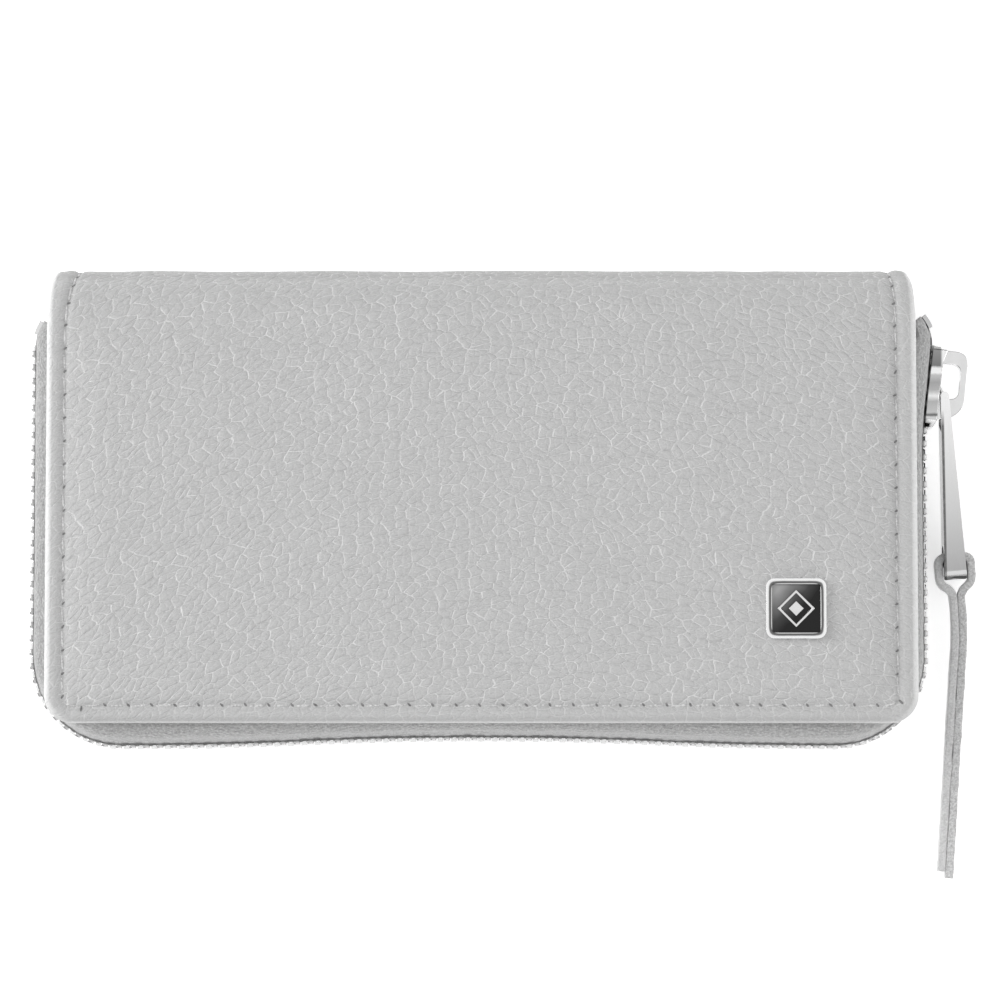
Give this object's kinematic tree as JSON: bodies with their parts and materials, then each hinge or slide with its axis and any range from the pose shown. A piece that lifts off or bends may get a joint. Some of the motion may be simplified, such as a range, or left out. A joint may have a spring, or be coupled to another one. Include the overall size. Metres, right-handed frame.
{
  "type": "manicure set case",
  "caption": "Flat zip-around leather case for manicure tools that opens on a rounded spine, with a metal slider, a tapered pull and a short leather strap.",
  "frame": {"origin": "middle of the back cover's flat outer face", "axes": "+X along the width, +Y towards the folded side, +Z out of the front"},
  "size_m": [0.1655, 0.1057, 0.0294],
  "materials": {
    "leather": "pebbled, semi-matt",
    "board": "raw",
    "lining": "smooth weave",
    "foam": "foam",
    "tape": "woven",
    "chrome": "polished",
    "badge_plate": "gloss enamel",
    "strap": "smooth, raw edges"
  },
  "bodies": {
    "back_half": {"back_cover": "leather", "back_board": "board", "back_lining": "lining", "back_zip_tape": "tape", "back_zip_teeth": "chrome", "back_top_stop": "chrome", "zip_bottom_stop": "chrome", "tool_loop_band": "lining", "tip_pocket": "lining"},
    "spine": {"spine_cover": "leather", "spine_lining": "lining"},
    "front_half": {"front_cover": "leather", "front_padding": "foam", "front_board": "board", "front_lining": "lining", "front_zip_tape": "tape", "front_zip_teeth": "chrome", "front_top_stop": "chrome", "slip_pocket": "lining", "badge_frame": "chrome", "badge_inlay": "badge_plate", "badge_motif": "chrome", "badge_backing": "chrome"},
    "zip_slider": {"slider_body": "chrome", "slider_crown": "chrome"},
    "pull": {"pull_tab": "chrome"},
    "strap": {"pull_strap": "strap"}
  },
  "joints": [
    {"name": "back_fold", "type": "hinge", "parent": "back_half", "child": "spine", "pos_m": [0, 0.03758, 0.0023], "axis": [-1, 0, 0], "range_deg": [0, 90]},
    {"name": "front_fold", "type": "hinge", "parent": "spine", "child": "front_half", "pos_m": [0, 0.03758, 0.0247], "axis": [-1, 0, 0], "range_deg": [0, 90]},
    {"name": "slider_travel", "type": "slide", "parent": "back_half", "child": "zip_slider", "axis": [-0.0232, -0.9997, 0], "range_m": [0, 0.04], "deforming": ["back_zip_tape", "back_zip_teeth", "front_zip_tape", "front_zip_teeth"]},
    {"name": "pull_swing", "type": "hinge", "parent": "zip_slider", "child": "pull", "pos_m": [0.08074, 0.01876, 0.0135], "axis": [0, -0.3016, 0.9534], "range_deg": [0, 120]},
    {"name": "strap_swing", "type": "hinge", "parent": "pull", "child": "strap", "pos_m": [0.08306, -0.00938, 0.0046], "axis": [-0.9969, -0.0748, -0.0237], "range_deg": [-84, 100]}
  ],
  "couplings": [
    {"joint": "front_fold", "follows": "back_fold", "ratio": 1}
  ]
}
